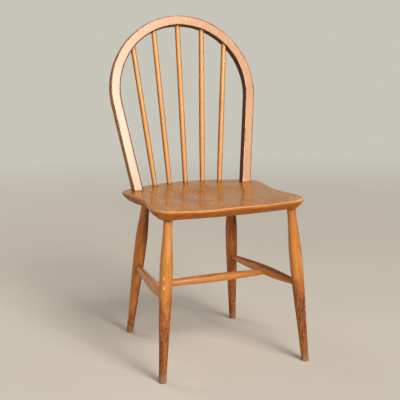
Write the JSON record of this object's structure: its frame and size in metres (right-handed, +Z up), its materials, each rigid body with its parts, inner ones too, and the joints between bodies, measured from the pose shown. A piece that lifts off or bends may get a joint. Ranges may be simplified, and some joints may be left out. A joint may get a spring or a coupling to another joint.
{
  "type": "side chair",
  "caption": "Hoop-back wooden side chair with a dished seat, slim turned spindles, splayed turned legs wedged through the seat and an H stretcher.",
  "frame": {"origin": "on the floor, under the middle of the chair's overall box", "axes": "+Z up, the front of the chair towards -Y, +X to the right seen from the front"},
  "size_m": [0.413, 0.4506, 0.8872],
  "materials": {
    "seat_wood": "satin varnish, worn and scuffed",
    "bent_wood": "satin varnish over pale steam-bent wood",
    "turned_wood": "honey-coloured satin varnish, chipped and stained low on the legs",
    "wedge_wood": "varnished end grain"
  },
  "bodies": {
    "root": {"seat": "seat_wood", "hoop": "bent_wood", "spindle_1": "turned_wood", "spindle_2": "turned_wood", "spindle_3": "turned_wood", "spindle_4": "turned_wood", "spindle_5": "turned_wood", "leg_front_left": "turned_wood", "leg_front_right": "turned_wood", "leg_rear_left": "turned_wood", "leg_rear_right": "turned_wood", "side_stretcher_left": "turned_wood", "side_stretcher_right": "turned_wood", "cross_stretcher": "turned_wood", "leg_wedge_front_left": "wedge_wood", "leg_wedge_front_right": "wedge_wood", "leg_wedge_rear_left": "wedge_wood", "leg_wedge_rear_right": "wedge_wood", "hoop_wedge_left": "wedge_wood", "hoop_wedge_right": "wedge_wood"}
  },
  "joints": []
}
